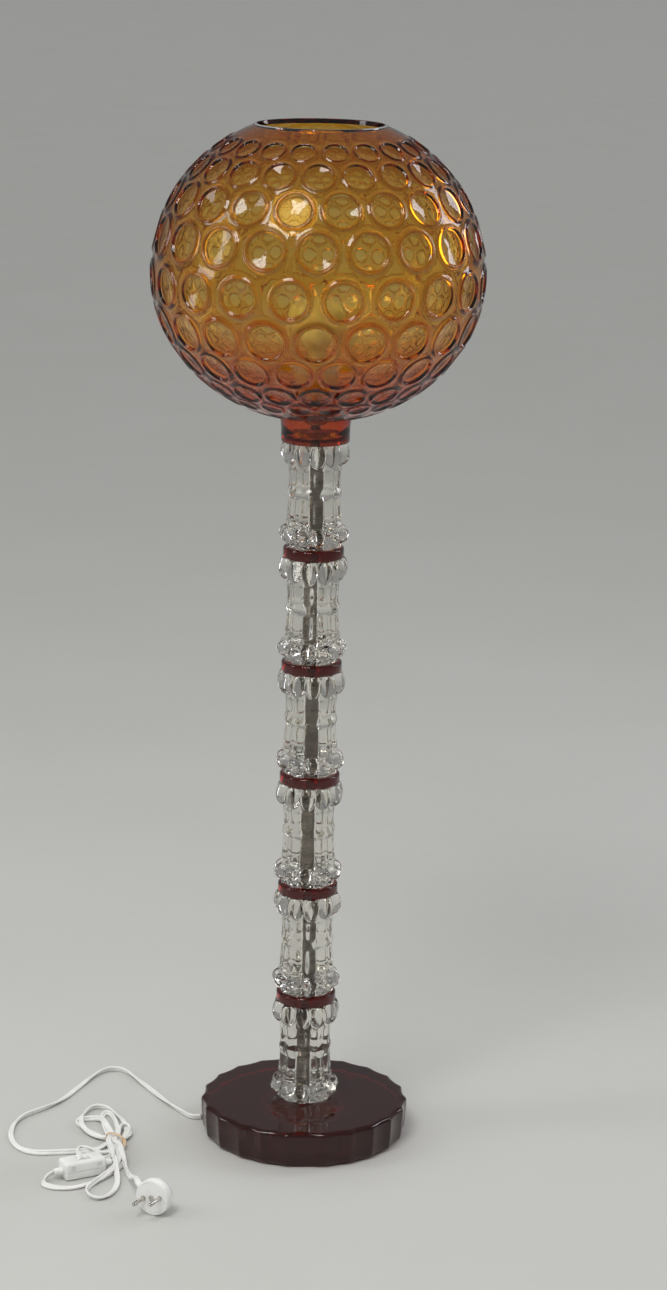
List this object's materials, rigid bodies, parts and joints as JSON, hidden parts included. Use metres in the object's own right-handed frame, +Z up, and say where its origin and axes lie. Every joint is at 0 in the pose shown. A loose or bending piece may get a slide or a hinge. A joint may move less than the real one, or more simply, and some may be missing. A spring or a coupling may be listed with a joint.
{
  "type": "floor lamp",
  "caption": "Glass floor lamp: dimpled amber globe shade on a stem of stacked clear pressed-glass segments and dark glass discs, fluted glass base, cord with switch and plug.",
  "frame": {"origin": "on the floor under the middle of the base (centre of the foot)", "axes": "+Z up along the stem, -Y towards the front, cord and plug on the -X side"},
  "size_m": [0.4654, 0.4047, 1.0311],
  "materials": {
    "amber_glass": "glossy, moulded",
    "oxblood_glass": "glossy, pressed",
    "clear_glass": "glossy, pressed",
    "opal_glass": "satin opal",
    "zinc_steel": "zinc plated",
    "brass": "plain",
    "nickel": "nickel plated",
    "aluminium": "plain",
    "white_plastic": "smooth moulded",
    "cream_bakelite": "smooth moulded",
    "porcelain": "glazed",
    "white_cord": "soft satin",
    "wire_insulation": "satin",
    "felt": "felt",
    "black_rubber": "matt",
    "rubber_band": "satin"
  },
  "bodies": {
    "lamp": {"base_felt": "felt", "base_glass": "oxblood_glass", "base_nut": "zinc_steel", "base_washer": "zinc_steel", "cord_gland": "black_rubber", "cord_loops_lower": "white_cord", "cord_loops_upper": "white_cord", "cord_waist": "white_cord", "holder_cap": "cream_bakelite", "holder_centre_contact": "brass", "holder_insert": "porcelain", "holder_screw_shell": "nickel", "holder_skirt": "cream_bakelite", "holder_terminal_live": "brass", "holder_terminal_neutral": "brass", "inner_wires": "wire_insulation", "mains_cord": "white_cord", "neck_nut": "brass", "neck_washer": "brass", "plug_cover": "white_plastic", "plug_face": "white_plastic", "plug_lead": "white_cord", "plug_pin_left": "nickel", "plug_pin_right": "nickel", "plug_screw": "nickel", "plug_sleeve": "white_plastic", "rubber_band": "rubber_band", "shade_globe": "amber_glass", "spacer_disc_1": "oxblood_glass", "spacer_disc_2": "oxblood_glass", "spacer_disc_3": "oxblood_glass", "spacer_disc_4": "oxblood_glass", "spacer_disc_5": "oxblood_glass", "stem_segment_1": "clear_glass", "stem_segment_2": "clear_glass", "stem_segment_3": "clear_glass", "stem_segment_4": "clear_glass", "stem_segment_5": "clear_glass", "stem_segment_6": "clear_glass", "stem_tube": "zinc_steel", "switch_base": "white_plastic", "switch_cover": "white_plastic", "switch_sleeve_left": "white_plastic", "switch_sleeve_right": "white_plastic"},
    "bulb": {"bulb_cap": "aluminium", "bulb_glass": "opal_glass"},
    "rocker": {"switch_rocker": "white_plastic"}
  },
  "joints": [
    {"name": "bulb_out", "type": "slide", "parent": "lamp", "child": "bulb", "axis": [0, 0, 1], "range_m": [0, 0.29]},
    {"name": "rocker_tilt", "type": "hinge", "parent": "lamp", "child": "rocker", "pos_m": [-0.2185, -0.1265, 0.0153], "axis": [0.4695, -0.8829, 0], "range_deg": [0, 22]}
  ]
}
